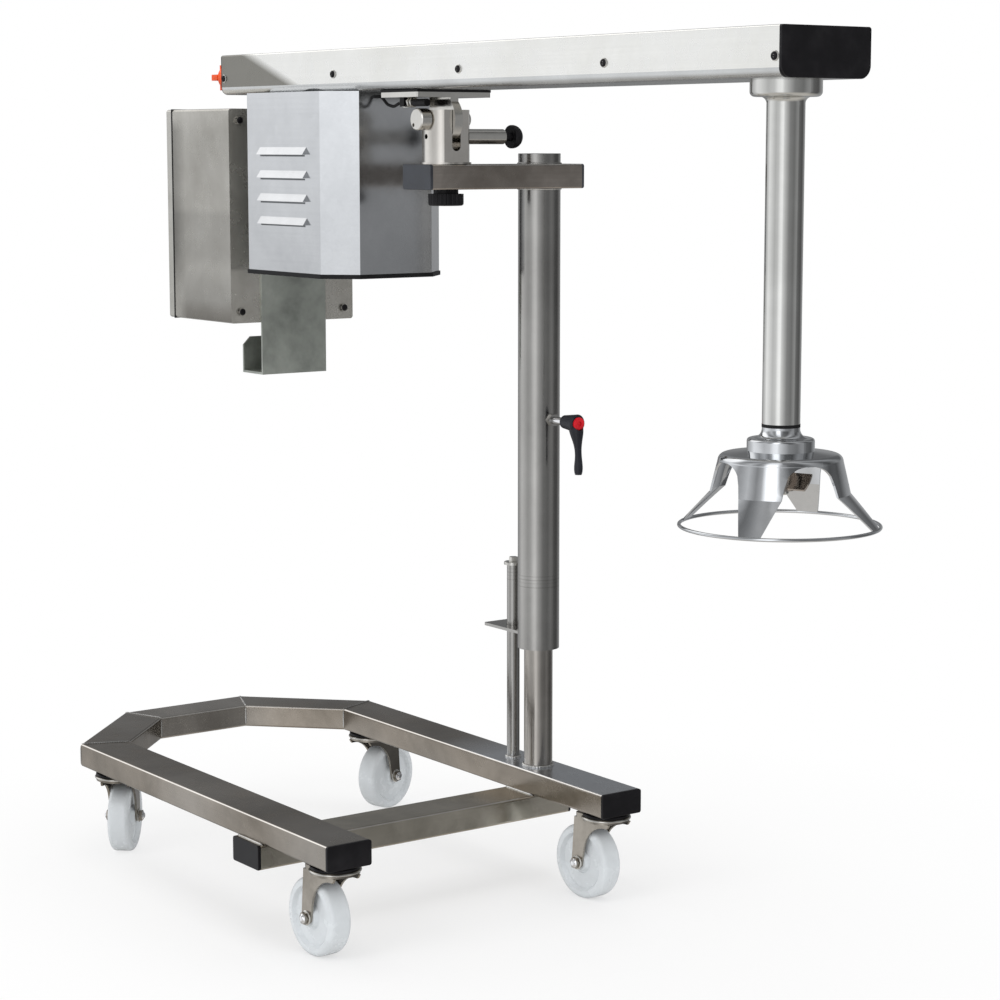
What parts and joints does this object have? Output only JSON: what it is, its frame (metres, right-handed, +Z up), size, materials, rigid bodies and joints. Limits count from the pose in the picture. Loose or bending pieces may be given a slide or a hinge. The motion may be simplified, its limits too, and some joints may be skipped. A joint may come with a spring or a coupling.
{
  "type": "mobile tank agitator",
  "caption": "Mobile agitator stand: castored U-shaped trolley, telescopic mast, pivoting beam with motor and control box, and a vertical shaft in a tube with a guarded impeller.",
  "frame": {"origin": "on the floor under the centre of the whole machine's bounding box", "axes": "+X along the beam from the control box towards the agitator tube, +Z up"},
  "size_m": [1.7174, 0.679, 1.3955],
  "materials": {
    "rail_steel": "satin stainless tube, lightly oxidised",
    "mast_steel": "satin stainless",
    "bright_steel": "polished stainless",
    "zinc_steel": "zinc plated",
    "chrome": "bright",
    "beam_steel": "ivory-toned brushed stainless",
    "box_steel": "satin stainless sheet",
    "galvanised": "mottled galvanised",
    "motor_iron": "painted housing",
    "black_plastic": "moulded",
    "charcoal_plastic": "moulded",
    "red_plastic": "moulded",
    "orange_plastic": "moulded",
    "white_nylon": "cast nylon",
    "guide_plastic": "turned plastic",
    "black_rubber": "matt"
  },
  "bodies": {
    "trolley": {"side_rails": "rail_steel", "diagonal_tubes": "rail_steel", "front_tube": "rail_steel", "cross_tube": "rail_steel", "trolley_end_caps": "black_plastic", "inner_mast": "mast_steel", "guide_rod": "mast_steel", "guide_rod_bolt": "bright_steel", "castor_races": "zinc_steel"},
    "mast": {"outer_mast": "mast_steel", "mast_bushes": "guide_plastic", "mast_cap": "mast_steel", "guide_plate": "mast_steel", "top_arm": "mast_steel", "arm_end_caps": "black_plastic"},
    "clamp_lever": {"clamp_lever": "charcoal_plastic", "clamp_screw": "chrome"},
    "clamp_button": {"clamp_button": "red_plastic"},
    "lock_knob": {"lock_knob": "black_plastic"},
    "clevis": {"yoke": "bright_steel", "pivot_pin": "bright_steel", "plunger_barrel": "bright_steel"},
    "plunger": {"plunger": "black_plastic"},
    "head": {"beam_channel": "box_steel", "beam_cover": "beam_steel", "beam_head_cap": "black_plastic", "beam_rear_cap": "black_plastic", "beam_screws": "bright_steel", "mount_gasket": "black_rubber", "mount_plate": "bright_steel", "pivot_lug": "bright_steel", "motor": "motor_iron", "motor_housing": "box_steel", "housing_trim": "black_rubber", "drive_belt": "black_rubber", "bearing_cup": "bright_steel", "shaft_tube": "bright_steel", "seal_ring": "black_rubber", "shaft_bearings": "zinc_steel", "guard": "bright_steel", "guard_ring": "bright_steel", "control_box": "box_steel", "hook_plate": "galvanised", "sensor": "black_plastic", "sensor_cable": "black_rubber"},
    "motor_rotor": {"motor_pulley": "zinc_steel"},
    "agitator": {"driven_pulley": "zinc_steel", "agitator_shaft": "bright_steel", "impeller": "bright_steel"},
    "door": {"box_door": "box_steel"},
    "speed_knob": {"speed_knob": "black_plastic"},
    "main_switch": {"main_switch": "orange_plastic"},
    "fork_near_open": {"castor_fork_near_open": "zinc_steel"},
    "wheel_near_open": {"castor_wheel_near_open": "white_nylon"},
    "fork_far_open": {"castor_fork_far_open": "zinc_steel"},
    "wheel_far_open": {"castor_wheel_far_open": "white_nylon"},
    "fork_near_front": {"castor_fork_near_front": "zinc_steel"},
    "wheel_near_front": {"castor_wheel_near_front": "white_nylon"},
    "fork_far_front": {"castor_fork_far_front": "zinc_steel"},
    "wheel_far_front": {"castor_wheel_far_front": "white_nylon"}
  },
  "joints": [
    {"name": "swivel_near_open", "type": "hinge", "parent": "trolley", "child": "fork_near_open", "pos_m": [0.09925, -0.29054, 0.14], "axis": [0, 0, 1], "continuous": true},
    {"name": "roll_near_open", "type": "hinge", "parent": "fork_near_open", "child": "wheel_near_open", "pos_m": [0.05528, -0.29207, 0.0625], "axis": [0.0349, -0.9994, 0], "continuous": true},
    {"name": "swivel_far_open", "type": "hinge", "parent": "trolley", "child": "fork_far_open", "pos_m": [0.09925, 0.23446, 0.14], "axis": [0, 0, 1], "continuous": true},
    {"name": "roll_far_open", "type": "hinge", "parent": "fork_far_open", "child": "wheel_far_open", "pos_m": [0.05536, 0.23139, 0.0625], "axis": [0.0698, -0.9976, 0], "continuous": true},
    {"name": "swivel_near_front", "type": "hinge", "parent": "trolley", "child": "fork_near_front", "pos_m": [-0.61475, -0.29054, 0.14], "axis": [0, 0, 1], "continuous": true},
    {"name": "roll_near_front", "type": "hinge", "parent": "fork_near_front", "child": "wheel_near_front", "pos_m": [-0.64846, -0.26226, 0.0625], "axis": [-0.6428, -0.766, 0], "continuous": true},
    {"name": "swivel_far_front", "type": "hinge", "parent": "trolley", "child": "fork_far_front", "pos_m": [-0.61475, 0.23446, 0.14], "axis": [0, 0, 1], "continuous": true},
    {"name": "roll_far_front", "type": "hinge", "parent": "fork_far_front", "child": "wheel_far_front", "pos_m": [-0.62835, 0.27631, 0.0625], "axis": [-0.9511, -0.309, 0], "continuous": true},
    {"name": "mast_lift", "type": "slide", "parent": "trolley", "child": "mast", "axis": [0, 0, 1], "range_m": [-0.195, 0.1]},
    {"name": "clamp_lever_turn", "type": "hinge", "parent": "mast", "child": "clamp_lever", "pos_m": [-0.00875, 0.23446, 0.788], "axis": [1, 0, 0], "range_deg": [-90, 90]},
    {"name": "clamp_button_press", "type": "slide", "parent": "clamp_lever", "child": "clamp_button", "axis": [-1, 0, 0], "range_m": [0, 0.003], "stiffness_N_per_m": 1500},
    {"name": "lock_knob_turn", "type": "hinge", "parent": "clevis", "child": "lock_knob", "pos_m": [-0.08875, 0.04746, 1.15], "axis": [0, 0, 1], "range_deg": [-180, 180]},
    {"name": "clevis_swivel", "type": "hinge", "parent": "mast", "child": "clevis", "pos_m": [-0.08875, 0.04746, 1.209], "axis": [0, 0, 1], "range_deg": [-35, 90]},
    {"name": "plunger_pull", "type": "slide", "parent": "clevis", "child": "plunger", "axis": [0, 1, 0], "range_m": [0, 0.01], "stiffness_N_per_m": 1200},
    {"name": "head_tilt", "type": "hinge", "parent": "clevis", "child": "head", "pos_m": [-0.08875, 0.04746, 1.28], "axis": [0, -1, 0], "range_deg": [-10, 12]},
    {"name": "agitator_spin", "type": "hinge", "parent": "head", "child": "agitator", "pos_m": [0.71825, 0.04746, 1], "axis": [0, 0, 1], "continuous": true},
    {"name": "motor_spin", "type": "hinge", "parent": "head", "child": "motor_rotor", "pos_m": [-0.37475, 0.04746, 1.35], "axis": [0, 0, 1], "continuous": true},
    {"name": "door_hinge", "type": "hinge", "parent": "head", "child": "door", "pos_m": [-0.772, 0.17696, 1.111], "axis": [0, 0, -1], "range_deg": [0, 110]},
    {"name": "speed_knob_turn", "type": "hinge", "parent": "door", "child": "speed_knob", "pos_m": [-0.79275, 0.04746, 1.192], "axis": [-1, 0, 0], "range_deg": [0, 270]},
    {"name": "main_switch_turn", "type": "hinge", "parent": "head", "child": "main_switch", "pos_m": [-0.67075, -0.00454, 1.358], "axis": [-1, 0, 0], "range_deg": [0, 90]}
  ],
  "couplings": [
    {"joint": "motor_spin", "follows": "agitator_spin", "ratio": 1.25}
  ]
}
